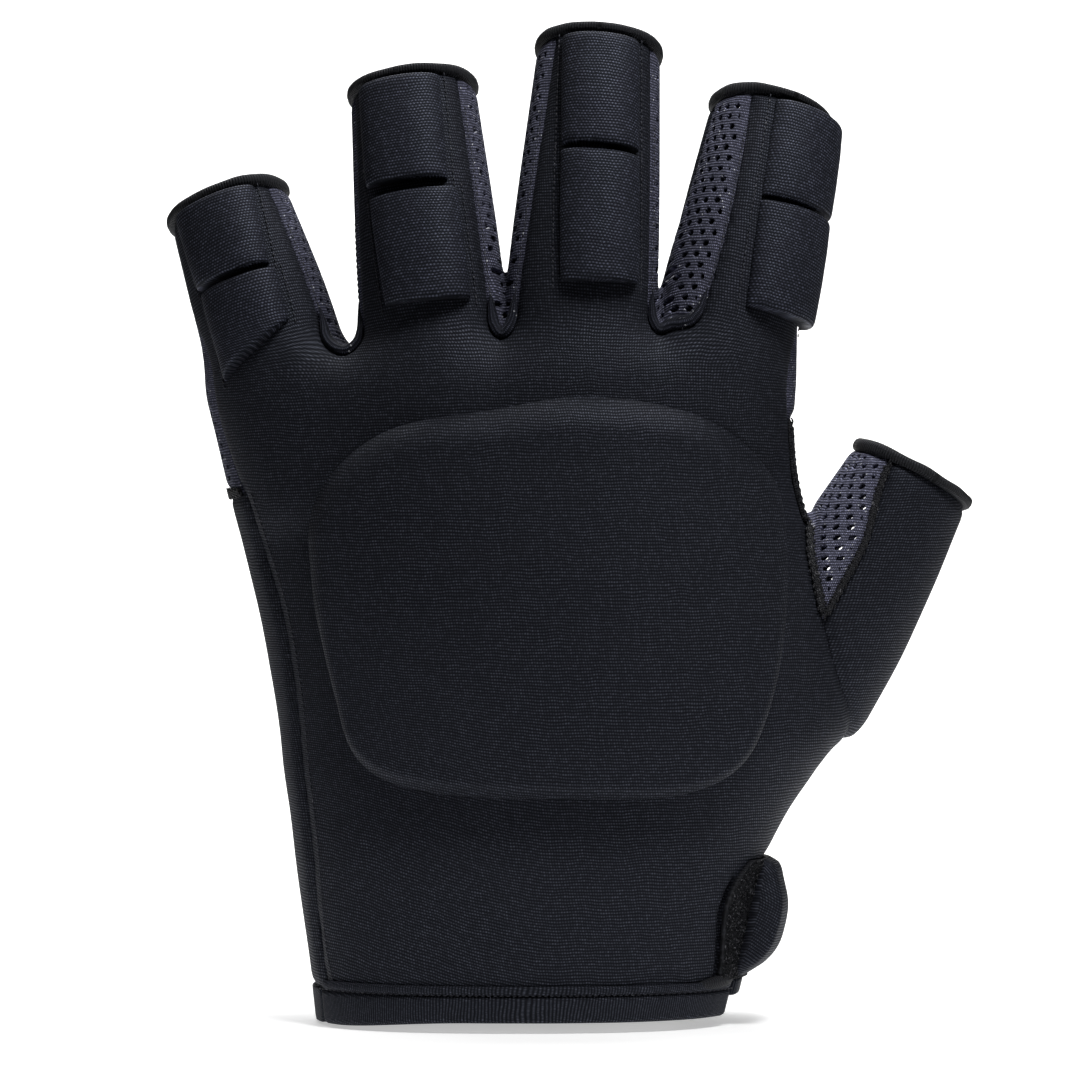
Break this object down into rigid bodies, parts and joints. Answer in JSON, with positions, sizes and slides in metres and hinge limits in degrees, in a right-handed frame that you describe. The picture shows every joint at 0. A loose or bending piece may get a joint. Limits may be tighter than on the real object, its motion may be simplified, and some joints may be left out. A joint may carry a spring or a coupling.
{
  "type": "field hockey glove",
  "caption": "Left-hand field hockey glove with open finger ends, padded knuckles, mesh finger strips and a cuff with a wrist strap.",
  "frame": {"origin": "middle of the wrist opening, on the plane of the cuff's lower edge", "axes": "+Z from the cuff towards the fingers, +X towards the thumb, -Y out of the back of the hand"},
  "size_m": [0.1487, 0.0542, 0.1811],
  "materials": {
    "knit_neoprene": "matte knit face",
    "guard_knit": "smooth knit face with a soft sheen",
    "perforated_mesh": "matte perforated mesh",
    "palm_mesh": "matte napped face",
    "elastic_tape": "ribbed elastic",
    "loop_pile": "fuzzy loop pile"
  },
  "bodies": {
    "root": {"back_panel": "knit_neoprene", "side_panel": "knit_neoprene", "palm_panel": "palm_mesh", "strip_little_outer": "perforated_mesh", "strip_little_ring": "perforated_mesh", "strip_ring_middle": "perforated_mesh", "strip_middle_index": "perforated_mesh", "strip_index_outer": "perforated_mesh", "thumb_back": "knit_neoprene", "thumb_mesh": "perforated_mesh", "web_little_ring": "elastic_tape", "web_ring_middle": "elastic_tape", "web_middle_index": "elastic_tape", "binding_little": "elastic_tape", "binding_ring": "elastic_tape", "binding_middle": "elastic_tape", "binding_index": "elastic_tape", "binding_thumb": "elastic_tape", "guard_little_tip": "guard_knit", "guard_little_base": "guard_knit", "guard_ring_tip": "guard_knit", "guard_ring_base": "guard_knit", "guard_middle_tip": "guard_knit", "guard_middle_base": "guard_knit", "guard_index_tip": "guard_knit", "guard_index_base": "guard_knit", "back_pad": "knit_neoprene", "hem_back": "knit_neoprene", "hem_palm": "knit_neoprene", "loop_patch": "loop_pile", "wrist_strap": "knit_neoprene"}
  },
  "joints": []
}
